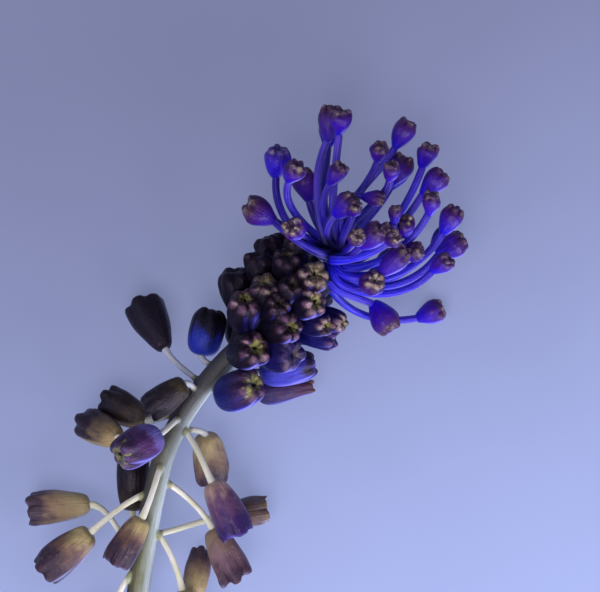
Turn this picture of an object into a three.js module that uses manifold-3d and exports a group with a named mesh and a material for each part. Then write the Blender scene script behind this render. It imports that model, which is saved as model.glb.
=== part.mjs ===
// A tassel hyacinth, cut and laid on a flat surface: a leafless flowering stem with open brown
// florets on pale stalks, a crowded head of dark buds, and a tassel of sterile violet florets.
//
// Millimetres, +Z up, the surface at z = 0. The stem lies along Y, with the tassel towards +Y.
// The layout below is measured from the foot of the tassel: x across, y along, z above the surface.
import * as THREE from "three";
import { mergeVertices } from "three/addons/utils/BufferGeometryUtils.js";
import Module from "manifold-3d";

const wasm = await Module();
wasm.setup();

// Where the foot of the tassel lies, so that the origin is at the middle of the whole flower's box.
const tasselFoot = { x: 11.12, y: 36.56 };

// Clearance between neighbouring pieces.
const seatGap = 0.3;

// The stem leans a little to one side along its length, and near the head it bows over further.
const stem = {
  length: 92,
  lean: 0.145, // sideways for each millimetre of y
  bow: 1.0, // added to the lean past the bend
  bendAt: -18,
  bendWidth: 4,
  topEnd: -0.9, // y where the violet tip takes over
  cutRadius: 1.6,
  tipRadius: 1.0,
  cutHeight: 1.45, // its middle above the surface, at the cut end
  footHeight: 8.3, // and at the foot of the tassel
  sides: 10,
  steps: 22,
};

const stalk = { radius: 0.43, sides: 6, steps: 4, leaves: 0.34, arrives: 0.34 };

// An open floret of full size: a ridged urn with six lobes round its mouth.
const openFloret = {
  length: 7.6,
  radius: 2.3,
  profile: [
    // share of the radius, share of the length
    [0.3, 0],
    [0.76, 0.12],
    [0.98, 0.6],
    [0.92, 0.86],
    [1.0, 1.0],
    [0.4, 0.74],
  ],
  ridge: 0.08,
  scallop: 0.035,
  ridgeFrom: 0.4,
};

// A shut floret, as the upper ones and the buds are: its six lobes meet in a star.
const shutFloret = {
  length: 6.4,
  radius: 2.3,
  profile: [
    [0.3, 0],
    [0.9, 0.3],
    [1.0, 0.68],
    [0.62, 1.0],
  ],
  dimple: 0.93,
  ridge: 0.13,
  scallop: 0,
  ridgeFrom: 0.5,
};

// A bud of the head, whose foot is hidden in the core.
const bud = {
  profile: [
    [0.55, 0],
    [1.0, 0.62],
    [0.66, 1.0],
  ],
  dimple: 0.93,
  ridge: 0.13,
  scallop: 0,
  ridgeFrom: 0.5,
};

// A sterile floret of the tassel: shaped like a fig, with a small crown.
const sterileFloret = {
  profile: [
    [0.36, 0],
    [0.78, 0.22],
    [1.0, 0.56],
    [0.7, 0.95],
  ],
  dimple: 0.86,
  ridge: 0.12,
  scallop: 0,
  ridgeFrom: 0.35,
};

const lobeSides = 12; // two for each of the six lobes

// Florets from the head down. Each row: where its stalk leaves the stem (y), where the floret begins
// (x, y, z), the heading it points to and its rise above level in degrees, its size against a
// full-grown one, its girth against its size, and whether it is still shut.
const floretRows = [
  [-11.6, -8.2, -13.5, 6.3, 12, 0, 1.03, 0.84, true],
  [-12.4, -8.6, -16.5, 3.2, 11, -4, 1.02, 0.76, true],
  [-13.0, -16.1, -11.5, 5.2, 79, -4, 0.92, 1.06, true],
  [-13.8, -14.0, -16.9, 8.2, 22, 46, 1.0, 1.08, true],
  [-15.1, -20.6, -10.7, 4.9, 118, -31, 0.92, 1.0, false],
  [-16.0, -17.9, -15.1, 9.4, 213, 0, 0.74, 1.0, false],
  [-18.5, -23.1, -19.4, 5.0, 150, -22, 0.88, 0.98, false],
  [-18.9, -21.2, -21.2, 11.0, 205, 33, 1.05, 1.0, true],
  [-20.3, -15.3, -20.8, 3.8, 274, -3, 0.86, 1.06, false],
  [-21.0, -26.9, -21.4, 7.6, 158, -40, 0.88, 0.98, false],
  [-21.6, -14.6, -26.8, 9.3, 297, 0, 0.95, 1.06, false],
  [-24.5, -23.2, -31.1, 10.2, 240, -3, 0.86, 1.0, false],
  [-27.1, -14.5, -32.9, 6.2, 293, 0, 0.9, 1.0, false],
  [-28.4, -29.6, -33.0, 7.2, 220, -8, 1.02, 1.0, false],
  [-32.6, -18.4, -40.2, 6.8, 282, 0, 0.95, 1.0, false],
  [-33.4, -14.2, -31.6, 2.4, 10, 0, 0.84, 1.0, false],
  [-33.8, -24.8, -30.7, 2.5, 89, 0, 0.93, 1.0, false],
  [-36.5, -30.0, -29.9, 3.2, 184, -2, 1.0, 0.9, false],
  [-37.4, -27.5, -43.0, 6.6, 236, -5, 1.0, 1.0, false],
  [-44.0, -17.2, -40.9, 2.1, 80, 0, 0.76, 1.05, false],
  [-46.5, -16.5, -53.0, 3.0, 300, 0, 1.0, 1.0, false],
  [-47.5, -24.2, -54.0, 9.2, 262, 0, 0.95, 1.0, false],
  [-49.5, -31.5, -54.5, 3.0, 232, 0, 1.02, 1.0, false],
  [-54.5, -20.0, -61.5, 3.2, 285, 0, 1.0, 1.0, false],
  [-57.5, -33.0, -64.0, 2.8, 238, 0, 1.0, 1.0, false],
  [-61.0, -24.4, -68.8, 6.0, 277, 0, 0.95, 1.0, false],
];

// The crowded buds stand out of a slim core all round, and lean a little towards the tassel.
const budHead = {
  lowerEnd: -12.2, // y on the stem
  tipReach: 8.1, // from the middle of the stem to a tip
  baseReach: 2.4,
  length: 5.8,
  radii: [2.25, 1.75], // from the lower end to the tassel
  headLength: 18,
  lean: 13, // degrees towards the tassel
  coreRadii: [3.6, 2.5],
  coreEnds: [-10.2, -0.7],
  coreSides: 8,
  coreSteps: 3,
  boreEnds: [-24, 6], // past both ends of the core
  // How far each tip lies along the head from its lower end, and how far to the side.
  above: [
    [4.5, 1.4],
    [7.2, -3.6],
    [7.5, 5.1],
    [8.8, -6.8],
    [9.4, 2.4],
    [10.3, 7.6],
    [11.0, -3.0],
    [12.6, -6.4],
    [13.8, 2.4],
    [13.8, 6.3],
    [15.1, -4.2],
    [16.1, -0.4],
    [16.7, 5.8],
    [18.0, -2.2],
  ],
  below: [
    [5.4, -2.4],
    [8.2, 1.4],
    [9.0, -5.6],
    [11.0, 5.6],
    [11.6, -1.6],
    [12.8, -4.6],
    [14.3, 2.6],
    [15.4, -7.4],
    [16.0, -1.6],
  ],
};

// The tassel stands on the stem's violet tip. The wider a stalk leans, the lower it is rooted.
const tassel = {
  tip: {
    below: 0.9, // how far it starts below the foot
    length: 3.6,
    radius: 1.0,
    taper: 0.7,
    heading: 45,
    rise: 8,
    sides: 8,
    steps: 3,
  },
  stalkRadius: 0.52,
  rootRadius: 0.42,
  stalkSides: 6,
  stalkSteps: 5,
  spreadAt: 0.42, // share of the way out that a stalk keeps the line it sets out on
  settleAt: 0.36, // share of the way that it keeps in line with its floret
  widest: 118, // degrees from the tip's line, for a stalk rooted lowest
  roots: [0.3, 0.92], // the lowest and the highest, as shares of the tip's length
  droop: 0.25, // how far the widest stalks first turn back, as a share of their reach
  sink: 0.35,
};

// Each row: where a sterile floret begins (x, y, z), its heading and its rise in degrees, its length
// and its radius.
const sterileRows = [
  [-7.5, 4.8, 12.4, 150, 8, 4.2, 1.72],
  [-7.1, 10.7, 10.4, 85, 18, 3.9, 1.68],
  [-5.4, 10.1, 13.6, 64, 42, 3.2, 1.3],
  [-3.1, 7.6, 8.2, 103, 0, 4.0, 1.6],
  [-1.0, 14.7, 9.0, 86, 0, 4.6, 1.4],
  [0.7, 15.7, 11.2, 85, 14, 3.3, 1.45],
  [-0.5, 9.2, 14.2, 58, 22, 3.0, 1.15],
  [5.2, 12.6, 12.2, 79, 40, 2.7, 1.2],
  [7.2, 13.8, 9.0, 62, 5, 3.9, 1.45],
  [7.4, 9.6, 8.2, 63, 0, 4.1, 1.6],
  [7.0, 10.3, 13.2, 84, 38, 2.7, 1.05],
  [10.9, 11.5, 8.4, 73, 12, 3.1, 1.28],
  [11.0, 8.6, 10.6, 43, 4, 3.9, 1.45],
  [11.7, 6.1, 12.4, 80, 28, 2.8, 1.1],
  [13.3, 3.5, 8.6, 60, 8, 3.7, 1.45],
  [12.9, 1.2, 6.6, 29, 0, 4.0, 1.6],
  [12.3, -1.1, 10.2, 37, 18, 3.0, 1.25],
  [10.4, -7.0, 1.7, 22, 0, 3.7, 1.6],
  [4.5, -5.3, 5.6, -54, 0, 4.4, 1.85],
  [4.0, -3.4, 11.8, 48, 62, 3.5, 1.6],
  [5.1, -1.3, 13.4, 40, 12, 4.8, 1.42],
  [9.3, 0.9, 11.0, 27, 40, 2.8, 1.25],
  [3.7, 2.1, 15.6, 42, 26, 3.8, 1.5],
  [2.6, 2.6, 17.2, 60, 72, 2.8, 1.15],
  [-0.6, 5.6, 15.0, 43, 18, 3.6, 1.5],
  [3.0, 8.2, 13.8, -10, 10, 2.9, 1.05],
  [7.4, 5.0, 13.6, 87, 22, 2.2, 0.85],
  [9.1, 3.1, 11.6, 96, 38, 2.7, 1.25],
  [6.6, 3.6, 15.4, 55, 62, 2.4, 0.9],
  [6.4, -0.4, 16.2, 30, 66, 2.6, 1.0],
  [-4.0, 3.3, 14.4, 140, 62, 3.1, 1.45],
  [2.2, 5.4, 16.6, 70, 55, 2.4, 0.95],
  [5.2, -0.8, 3.6, 36, -6, 3.6, 1.35],
  [-7.0, 4.9, 8.8, 148, -4, 3.6, 1.4],
  [-0.6, 14.2, 4.4, 86, -8, 3.6, 1.35],
  [7.0, 9.0, 3.4, 63, -6, 3.6, 1.45],
  [12.4, 1.8, 2.6, 42, -4, 3.4, 1.45],
];

const colours = {
  stem: 0x8d9c8a,
  brown: 0x6a4a4e,
  dark: 0x2d1f36,
  violet: 0x3a27c8,
};

const up = new THREE.Vector3(0, 0, 1);
const along = new THREE.Vector3(0, 1, 0); // the axis that lathes and cylinders are made round

function direction(headingDegrees, riseDegrees) {
  const heading = THREE.MathUtils.degToRad(headingDegrees);
  const rise = THREE.MathUtils.degToRad(riseDegrees);
  return new THREE.Vector3(
    Math.cos(heading) * Math.cos(rise),
    Math.sin(heading) * Math.cos(rise),
    Math.sin(rise),
  );
}

// The middle of the stem at a given y.
function stemPoint(y) {
  const turned = (at) =>
    stem.bendWidth * Math.log(1 + Math.exp((at - stem.bendAt) / stem.bendWidth));
  const x = stem.lean * y + stem.bow * (turned(y) - turned(0));
  const share = (y + stem.length) / stem.length;
  const z = THREE.MathUtils.lerp(stem.cutHeight, stem.footHeight, share);
  return new THREE.Vector3(x, y, z);
}

function stemRadius(y) {
  const share = THREE.MathUtils.clamp(-y / stem.length, 0, 1);
  return THREE.MathUtils.lerp(stem.tipRadius, stem.cutRadius, Math.sqrt(share));
}

class StemCurve extends THREE.Curve {
  constructor(lowY, highY) {
    super();
    this.lowY = lowY;
    this.highY = highY;
  }
  getPoint(t, target = new THREE.Vector3()) {
    return target.copy(stemPoint(THREE.MathUtils.lerp(this.lowY, this.highY, t)));
  }
}

// A closed geometry as a solid that can be joined and cut.
function solidOf(geometry) {
  const bare = geometry.clone();
  bare.deleteAttribute("normal");
  bare.deleteAttribute("uv");
  const merged = mergeVertices(bare, 1e-4);
  return new wasm.Manifold(
    new wasm.Mesh({
      numProp: 3,
      vertProperties: Float32Array.from(merged.attributes.position.array),
      triVerts: Uint32Array.from(merged.index.array),
    }),
  );
}

function meshOf(solid, name, colour, roughness) {
  const { vertProperties, triVerts } = solid.getMesh();
  const geometry = new THREE.BufferGeometry();
  geometry.setAttribute("position", new THREE.BufferAttribute(vertProperties, 3));
  geometry.setIndex(new THREE.BufferAttribute(triVerts, 1));
  geometry.computeVertexNormals();
  const material = new THREE.MeshStandardMaterial({ color: colour, roughness, metalness: 0 });
  const mesh = new THREE.Mesh(geometry, material);
  mesh.name = name;
  return mesh;
}

// A round stem of changing radius: a straight cylinder, bent along a curve.
function bentStem(curve, radiusAt, sides, steps) {
  const geometry = new THREE.CylinderGeometry(1, 1, 1, sides, steps);
  const frames = curve.computeFrenetFrames(steps, false);
  const position = geometry.attributes.position;
  const point = new THREE.Vector3();
  for (let i = 0; i < position.count; i++) {
    point.fromBufferAttribute(position, i);
    const t = point.y + 0.5;
    const ring = Math.round(t * steps);
    const radius = radiusAt(t);
    const placed = curve
      .getPointAt(ring / steps)
      .addScaledVector(frames.normals[ring], point.x * radius)
      .addScaledVector(frames.binormals[ring], -point.z * radius);
    position.setXYZ(i, placed.x, placed.y, placed.z);
  }
  const solid = solidOf(geometry);
  if (solid.volume() < 0) throw new Error("the stem is inside out");
  return solid;
}

// A floret standing on the origin along +Y: a lathed body whose ridges deepen towards its lobes.
function floretSolid(kind, length, radius) {
  const outline = kind.profile.map(([r, y]) => new THREE.Vector2(r * radius, y * length));
  const floor = kind.dimple === undefined ? outline.at(-1).y : kind.dimple * length;
  outline.unshift(new THREE.Vector2(0, 0));
  outline.push(new THREE.Vector2(0, floor));
  const geometry = new THREE.LatheGeometry(outline, lobeSides);
  const position = geometry.attributes.position;
  for (let i = 0; i < position.count; i++) {
    const [x, y, z] = [position.getX(i), position.getY(i), position.getZ(i)];
    const lobe = Math.cos((Math.atan2(x, z) * lobeSides) / 2);
    const depth = THREE.MathUtils.smoothstep(y / length, kind.ridgeFrom, 1);
    const share = 1 + kind.ridge * depth * lobe;
    position.setXYZ(i, x * share, y + kind.scallop * length * depth * lobe, z * share);
  }
  return solidOf(geometry);
}

function placed(solid, base, heading) {
  const turn = new THREE.Quaternion().setFromUnitVectors(along, heading);
  const matrix = new THREE.Matrix4().compose(base, turn, new THREE.Vector3(1, 1, 1));
  return solid.transform(matrix.elements);
}

// The stalk of a floret: it leaves the stem squarely and comes into the floret's base in line.
function floretStalk([rootY, x, y, z, heading, rise]) {
  const root = stemPoint(rootY);
  const forward = direction(heading, rise);
  const end = new THREE.Vector3(x, y, z).addScaledVector(forward, -seatGap);
  const reach = end.distanceTo(root);
  const line = stemPoint(rootY + 0.5).sub(stemPoint(rootY - 0.5)).normalize();
  const outward = end.clone().sub(root);
  outward.addScaledVector(line, -outward.dot(line)).normalize();
  const curve = new THREE.CubicBezierCurve3(
    root,
    root.clone().addScaledVector(outward, reach * stalk.leaves),
    end.clone().addScaledVector(forward, -reach * stalk.arrives),
    end,
  );
  return bentStem(curve, () => stalk.radius, stalk.sides, stalk.steps);
}

function makeStem() {
  const curve = new StemCurve(-stem.length, stem.topEnd);
  const radiusAt = (t) => stemRadius(curve.getPointAt(t).y);
  const shaft = bentStem(curve, radiusAt, stem.sides, stem.steps);
  return wasm.Manifold.union([shaft, ...floretRows.map(floretStalk)]);
}

function makeFloret([, x, y, z, heading, rise, size, girth, shut]) {
  const kind = shut ? shutFloret : openFloret;
  const body = floretSolid(kind, kind.length * size, kind.radius * size * girth);
  return placed(body, new THREE.Vector3(x, y, z), direction(heading, rise));
}

// One bud of the head, seen from above (side 1) or on the underside (side -1).
function makeBud(alongStem, across, side) {
  const lower = stemPoint(budHead.lowerEnd);
  const line = stemPoint(0).sub(lower).normalize();
  const lean = THREE.MathUtils.degToRad(budHead.lean);
  const rootAt = alongStem - Math.sin(lean) * budHead.tipReach;
  const root = stemPoint(lower.y + rootAt * line.y);
  const sideways = line.clone().cross(up).normalize();
  const upright = sideways.clone().cross(line).multiplyScalar(side);
  const turn = Math.asin(THREE.MathUtils.clamp(across / budHead.tipReach, -1, 1));
  const outward = sideways.multiplyScalar(Math.sin(turn)).addScaledVector(upright, Math.cos(turn));
  const heading = outward.multiplyScalar(Math.cos(lean)).addScaledVector(line, Math.sin(lean));
  const base = root.addScaledVector(heading, budHead.baseReach);
  const radius = THREE.MathUtils.lerp(...budHead.radii, alongStem / budHead.headLength);
  return placed(floretSolid(bud, budHead.length, radius), base, heading);
}

function makeBudHead() {
  const core = bentStem(
    new StemCurve(...budHead.coreEnds),
    (t) => THREE.MathUtils.lerp(...budHead.coreRadii, t),
    budHead.coreSides,
    budHead.coreSteps,
  );
  const buds = [
    ...budHead.above.map(([s, across]) => makeBud(s, across, 1)),
    ...budHead.below.map(([s, across]) => makeBud(s, across, -1)),
  ];
  const bore = bentStem(
    new StemCurve(...budHead.boreEnds),
    () => stemRadius(budHead.lowerEnd) + seatGap,
    stem.sides,
    stem.steps,
  );
  return wasm.Manifold.union([core, ...buds]).subtract(bore);
}

function sterileStalk([x, y, z, heading, rise]) {
  const tipLine = direction(tassel.tip.heading, tassel.tip.rise);
  const forward = direction(heading, rise);
  const end = new THREE.Vector3(x, y, z);
  const foot = stemPoint(0);
  const out = end.clone().sub(foot);
  const lean = THREE.MathUtils.radToDeg(out.angleTo(tipLine));
  const rootAt = tassel.tip.length * THREE.MathUtils.clamp(1 - lean / tassel.widest, ...tassel.roots);
  const root = foot.addScaledVector(tipLine, rootAt);
  const spread = end.clone().sub(root);
  const reach = spread.length();
  const turnedBack = tassel.droop * reach * (lean / tassel.widest) ** 2;
  spread.addScaledVector(tipLine, -spread.dot(tipLine) - turnedBack).normalize();
  const curve = new THREE.CubicBezierCurve3(
    root,
    root.clone().addScaledVector(spread, reach * tassel.spreadAt),
    end.clone().addScaledVector(forward, -reach * tassel.settleAt),
    end.clone().addScaledVector(forward, tassel.sink),
  );
  const radiusAt = (t) => THREE.MathUtils.lerp(tassel.rootRadius, tassel.stalkRadius, t);
  return bentStem(curve, radiusAt, tassel.stalkSides, tassel.stalkSteps);
}

function makeTassel() {
  const { below, length, radius, taper, heading, rise, sides, steps } = tassel.tip;
  const tipLine = direction(heading, rise);
  const line = new THREE.LineCurve3(
    stemPoint(0).addScaledVector(tipLine, -below),
    stemPoint(0).addScaledVector(tipLine, length),
  );
  const radiusAt = (t) => radius * Math.sqrt(1 - taper * t);
  const solids = [bentStem(line, radiusAt, sides, steps)];
  for (const row of sterileRows) {
    const [x, y, z, floretHeading, floretRise, floretLength, floretRadius] = row;
    const body = floretSolid(sterileFloret, floretLength, floretRadius);
    solids.push(sterileStalk(row));
    solids.push(placed(body, new THREE.Vector3(x, y, z), direction(floretHeading, floretRise)));
  }
  return wasm.Manifold.union(solids);
}

// What would reach below the surface is pressed flat on it.
const pressed = (solid) => solid.trimByPlane([0, 0, 1], 0);

const flower = new THREE.Group();
flower.position.set(tasselFoot.x, tasselFoot.y, 0);
flower.add(meshOf(pressed(makeStem()), "stem", colours.stem, 0.6));
floretRows.forEach((row, i) => {
  const name = `floret_${String(i + 1).padStart(2, "0")}`;
  const shut = row.at(-1);
  const colour = shut ? colours.dark : colours.brown;
  flower.add(meshOf(pressed(makeFloret(row)), name, colour, 0.5));
});
flower.add(meshOf(pressed(makeBudHead()), "bud_head", colours.dark, 0.5));
flower.add(meshOf(pressed(makeTassel()), "tassel", colours.violet, 0.5));

export default flower;
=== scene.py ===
import random
from math import asin, cos, exp, log, pi, radians, sin, sqrt

import bpy
import numpy as np
from mathutils import Matrix, Vector


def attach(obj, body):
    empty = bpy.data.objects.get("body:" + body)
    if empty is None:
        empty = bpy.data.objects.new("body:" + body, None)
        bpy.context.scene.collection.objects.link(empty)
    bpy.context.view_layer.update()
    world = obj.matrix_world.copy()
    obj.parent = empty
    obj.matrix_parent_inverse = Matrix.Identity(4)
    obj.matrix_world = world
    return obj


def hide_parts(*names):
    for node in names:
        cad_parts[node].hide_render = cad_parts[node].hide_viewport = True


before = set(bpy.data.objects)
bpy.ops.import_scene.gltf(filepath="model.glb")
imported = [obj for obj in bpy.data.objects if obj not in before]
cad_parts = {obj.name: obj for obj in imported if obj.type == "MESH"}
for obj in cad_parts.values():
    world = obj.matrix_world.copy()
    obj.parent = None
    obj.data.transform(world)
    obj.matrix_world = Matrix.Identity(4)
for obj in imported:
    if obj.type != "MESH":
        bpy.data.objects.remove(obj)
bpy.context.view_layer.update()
print("frame loaded:", len(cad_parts), "nodes")

# The flower is modelled in millimetres, measured from the foot of the tassel: x across, y along the
# stem, z above the surface. finishPiece shrinks each piece to metres and moves it to its place.
millimetre = 0.001
tasselFoot = Vector((11.12, 36.56, 0))
dice = random.Random(7)


def deselectAll():
    bpy.ops.object.select_all(action="DESELECT")


def pick(piece):
    deselectAll()
    piece.select_set(True)
    bpy.context.view_layer.objects.active = piece


def editMode():
    bpy.ops.object.mode_set(mode="EDIT")


def objectMode():
    bpy.ops.object.mode_set(mode="OBJECT")


# Selects, in edit mode, the points that pass a test of their number and place.
def pickPoints(piece, wanted):
    bpy.ops.mesh.select_all(action="DESELECT")
    objectMode()
    for point in piece.data.vertices:
        point.select = wanted(point.index, point.co)
    editMode()


def applyModifier(piece, kind, **settings):
    pick(piece)
    bpy.ops.object.modifier_add(type=kind)
    modifier = piece.modifiers[-1]
    for name, value in settings.items():
        setattr(modifier, name, value)
    bpy.ops.object.modifier_apply(modifier=modifier.name)


def copyOf(template):
    pick(template)
    bpy.ops.object.duplicate()
    return bpy.context.object


def joinAll(parts):
    deselectAll()
    for part in parts:
        part.select_set(True)
    bpy.context.view_layer.objects.active = parts[0]
    if len(parts) > 1:
        bpy.ops.object.join()
    return parts[0]


def direction(heading, rise):
    level = cos(radians(rise))
    return Vector((cos(radians(heading)) * level, sin(radians(heading)) * level, sin(radians(rise))))


def smooth(value, low, high):
    share = min(max((value - low) / (high - low), 0), 1)
    return share * share * (3 - 2 * share)


# What reaches below the surface is pressed flat on it.
def pressFlat(piece):
    pick(piece)
    editMode()
    pickPoints(piece, lambda number, place: place.z < 0)
    bpy.ops.transform.resize(value=(1, 1, 0), center_override=(0, 0, 0))
    objectMode()


# Notes on the points of a piece: a number or a place for each, or one number for all of them.
def noteValues(piece, name, values):
    piece.data.attributes.new(name, "FLOAT", "POINT").data.foreach_set("value", values)


def notePlaces(piece, name, places):
    piece.data.attributes.new(name, "FLOAT_VECTOR", "POINT").data.foreach_set("vector", places.ravel())


def note(piece, name, value):
    noteValues(piece, name, np.full(len(piece.data.vertices), float(value)))


# How far each point of a piece faces one way.
def facingWay(piece, way):
    normals = np.zeros(len(piece.data.vertices) * 3)
    piece.data.vertex_normals.foreach_get("vector", normals)
    return normals.reshape(-1, 3) @ np.array(way)


# The ways that surfaces face which get painted light and shade. Petals get painted light, mostly blue, on the
# side that the light comes through, towards the lower right, their lobes are painted paler on the lower side,
# and the stem is painted paler on its right.
litWays = {
    "paintedLitShare": (0.42, -0.87, -0.26),
    "lower": (-0.22, -0.75, 0.62),
    "facingPaintedLight": (0.94, -0.34, 0.0),
}


# Notes how far each point faces the painted light, and how far it faces the lower side that is painted paler.
def paintedLitSide(piece):
    noteValues(piece, "paintedLitShare", np.clip(facingWay(piece, litWays["paintedLitShare"]), 0, 1))
    noteValues(piece, "lower", facingWay(piece, litWays["lower"]))


def finishPiece(name, piece, slot, *nodes):
    pressFlat(piece)
    paintedLitSide(piece)
    pick(piece)
    piece.name = piece.data.name = name
    piece.matrix_world = Matrix.Scale(millimetre, 4) @ Matrix.Translation(tasselFoot)
    bpy.ops.object.transform_apply(location=True, rotation=True, scale=True)
    bpy.ops.object.shade_smooth()
    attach(piece, "root")
    if nodes:
        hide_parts(*nodes)
    return piece


# Camera: straight above the flower, with the tassel up and to the right.
photograph = {
    "width": 600,  # pixels
    "pixelsPerMillimetre": 8.2,
    "middle": (-4.02, -4.15),  # what lies in the middle of the picture, from the tassel's foot
    "level": 8,  # height that the scale holds at
    "distance": 350,
    "sensor": 36,
}


def makeCamera():
    shot = photograph
    x, y = shot["middle"]
    height = shot["level"] + shot["distance"]
    place = (tasselFoot + Vector((x, y, height))) * millimetre
    bpy.ops.object.camera_add(location=place, rotation=(0, 0, 0))
    camera = bpy.context.object
    seen = shot["width"] / shot["pixelsPerMillimetre"]
    camera.data.sensor_width = shot["sensor"]
    camera.data.lens = shot["sensor"] * shot["distance"] / seen
    camera.data.clip_start = 0.01
    bpy.context.scene.camera = camera
    print("camera: lens", round(camera.data.lens, 1))


makeCamera()

# Studio: a pale floor, painted darker far from the lights and paler near them, with a painted glow that lifts
# its shadows; soft light from the lower right and a weaker one from the upper left.
studio = {
    # the floor's colours paint a pool of light: darker far from the lights, paler near them
    "floorFar": "7E83A6",
    "floorNear": "ABB9EB",
    "floorFade": (0.078, -0.034),  # where the floor's colour begins and ends to change, in metres
    "floorTurn": -0.33,
    "floorClouds": (60, 0.01),  # scale of its faint clouds, and how far they shift the change
    # the floor's glow is painted light that lifts the shadows on it
    "floorGlow": 0.55,  # share of the floor's brightness that comes up through it, as on a light table
    "floorSize": 4,
    "air": "C9CFF2",
    "airStrength": 0.42,
    "lights": [
        # name, place and target in metres, width, watts, colour
        ("lightFromRight", (0.34, -0.42, 0.20), (0, 0.01, 0.008), 0.42, 4.0, "F4F2FF"),
        ("lightFromAbove", (-0.12, -0.2, 0.6), (0, 0.02, 0.008), 0.44, 2.4, "FFF8F0"),
        ("lightFromLeft", (-0.45, 0.1, 0.3), (0, 0.02, 0.008), 0.40, 0.55, "DCE0FF"),
        ("lightFromBelow", (-0.05, -0.2, 0.11), (-0.01, -0.05, 0), 0.14, 0.16, "E8ECFF"),
    ],
}


def colour(code):
    def linear(value):
        return value / 12.92 if value <= 0.04045 else ((value + 0.055) / 1.055) ** 2.4

    return (*(linear(int(code[i:i + 2], 16) / 255) for i in (0, 2, 4)), 1)


def makeStudio():
    for name, place, target, width, power, tint in studio["lights"]:
        line = Vector(target) - Vector(place)
        turned = line.to_track_quat("-Z", "Y").to_euler()
        bpy.ops.object.light_add(type="AREA", location=place, rotation=turned)
        light = bpy.context.object
        light.name = name
        light.data.shape = "DISK"
        light.data.size = width
        light.data.energy = power
        light.data.color = colour(tint)[:3]
    world = bpy.data.worlds.new("air")
    world.use_nodes = True
    air = world.node_tree.nodes["Background"]
    air.inputs["Color"].default_value = colour(studio["air"])
    air.inputs["Strength"].default_value = studio["airStrength"]
    bpy.context.scene.world = world
    bpy.context.scene.view_settings.view_transform = "Standard"
    print("studio: lights", len(studio["lights"]))


makeStudio()


# Starts a material. The functions after it add their nodes to the one that was started last.
def startMaterial(name, **sockets):
    global tree
    material = bpy.data.materials.new(name)
    material.use_nodes = True
    tree = material.node_tree
    shader = tree.nodes["Principled BSDF"]
    for socket, value in sockets.items():
        shader.inputs[socket.replace("_", " ")].default_value = value
    return material, shader


# Adds a node and joins or sets its inputs by name or number.
def addNode(kind, inputs=None, **settings):
    node = tree.nodes.new("ShaderNode" + kind)
    for name, value in settings.items():
        setattr(node, name, value)
    for key, value in (inputs or {}).items():
        if isinstance(value, bpy.types.NodeSocket):
            tree.links.new(value, node.inputs[key])
        else:
            node.inputs[key].default_value = value
    return node


def attribute(name):
    return addNode("Attribute", attribute_name=name).outputs["Fac"]


def skinPlace(stretch):
    node = addNode("Attribute", attribute_name="skin")
    scaled = addNode("VectorMath", {0: node.outputs["Vector"], 1: stretch}, operation="MULTIPLY")
    along = addNode("SeparateXYZ", {0: node.outputs["Vector"]}).outputs["Z"]
    return scaled.outputs["Vector"], along


def noise(scale, detail=2, roughness=0.5, vector=None):
    if vector is None:
        vector = addNode("TexCoord").outputs["Object"]
    inputs = {"Vector": vector, "Scale": scale, "Detail": detail, "Roughness": roughness}
    return addNode("TexNoise", inputs).outputs["Fac"]


def sums(operation, first, second, third=0.0):
    return addNode("Math", {0: first, 1: second, 2: third}, operation=operation).outputs[0]


def product(*factors):
    result = factors[0]
    for factor in factors[1:]:
        result = sums("MULTIPLY", result, factor)
    return result


# A value moved up and down by a pattern, half of its depth each way.
def unevenBy(value, pattern, depth):
    return sums("MULTIPLY_ADD", pattern, depth, sums("ADD", value, -depth / 2))


def between(value, low, high, start=0.0, end=1.0):
    inputs = {"Value": value, "From Min": low, "From Max": high, "To Min": start, "To Max": end}
    return addNode("MapRange", inputs, interpolation_type="SMOOTHSTEP").outputs["Result"]


def mix(share, low, high):
    low, high = (colour(tint) if isinstance(tint, str) else tint for tint in (low, high))
    return addNode("Mix", {0: share, 6: low, 7: high}, data_type="RGBA").outputs[2]


def ramp(value, stops):
    node = addNode("ValToRGB", {"Fac": value})
    elements = node.color_ramp.elements
    while len(elements) < len(stops):
        elements.new(1)
    for element, (place, tint) in zip(elements, stops):
        element.position = place
        element.color = colour(tint)
    return node.outputs["Color"]


def bump(shader, height, strength, distance):
    node = addNode("Bump", {"Height": height, "Strength": strength, "Distance": distance})
    tree.links.new(node.outputs["Normal"], shader.inputs["Normal"])


def makeFloorMaterial():
    material, shader = startMaterial("paleFloor", Roughness=0.9, Specular_IOR_Level=0.1)
    place = addNode("TexCoord").outputs["Object"]
    parts = addNode("SeparateXYZ", {0: place})
    # painted light: the floor grows paler towards the lights
    depth = sums("MULTIPLY_ADD", parts.outputs["X"], studio["floorTurn"], parts.outputs["Y"])
    scale, shift = studio["floorClouds"]
    cloud = sums("MULTIPLY_ADD", noise(scale), shift, depth)
    fade = between(cloud, *studio["floorFade"])
    tint = mix(fade, studio["floorFar"], studio["floorNear"])
    # the floor gives off part of its brightness itself, a painted glow that lifts its shadows
    tree.links.new(mix(studio["floorGlow"], tint, "000000"), shader.inputs["Base Color"])
    tree.links.new(tint, shader.inputs["Emission Color"])
    shader.inputs["Emission Strength"].default_value = studio["floorGlow"]
    return material


def makeFloor():
    deselectAll()
    bpy.ops.mesh.primitive_plane_add(size=studio["floorSize"], location=(0, 0, 0))
    floor = bpy.context.object
    floor.name = "floor"
    floor.data.materials.append(makeFloorMaterial())


makeFloor()
print("floor made")
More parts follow.
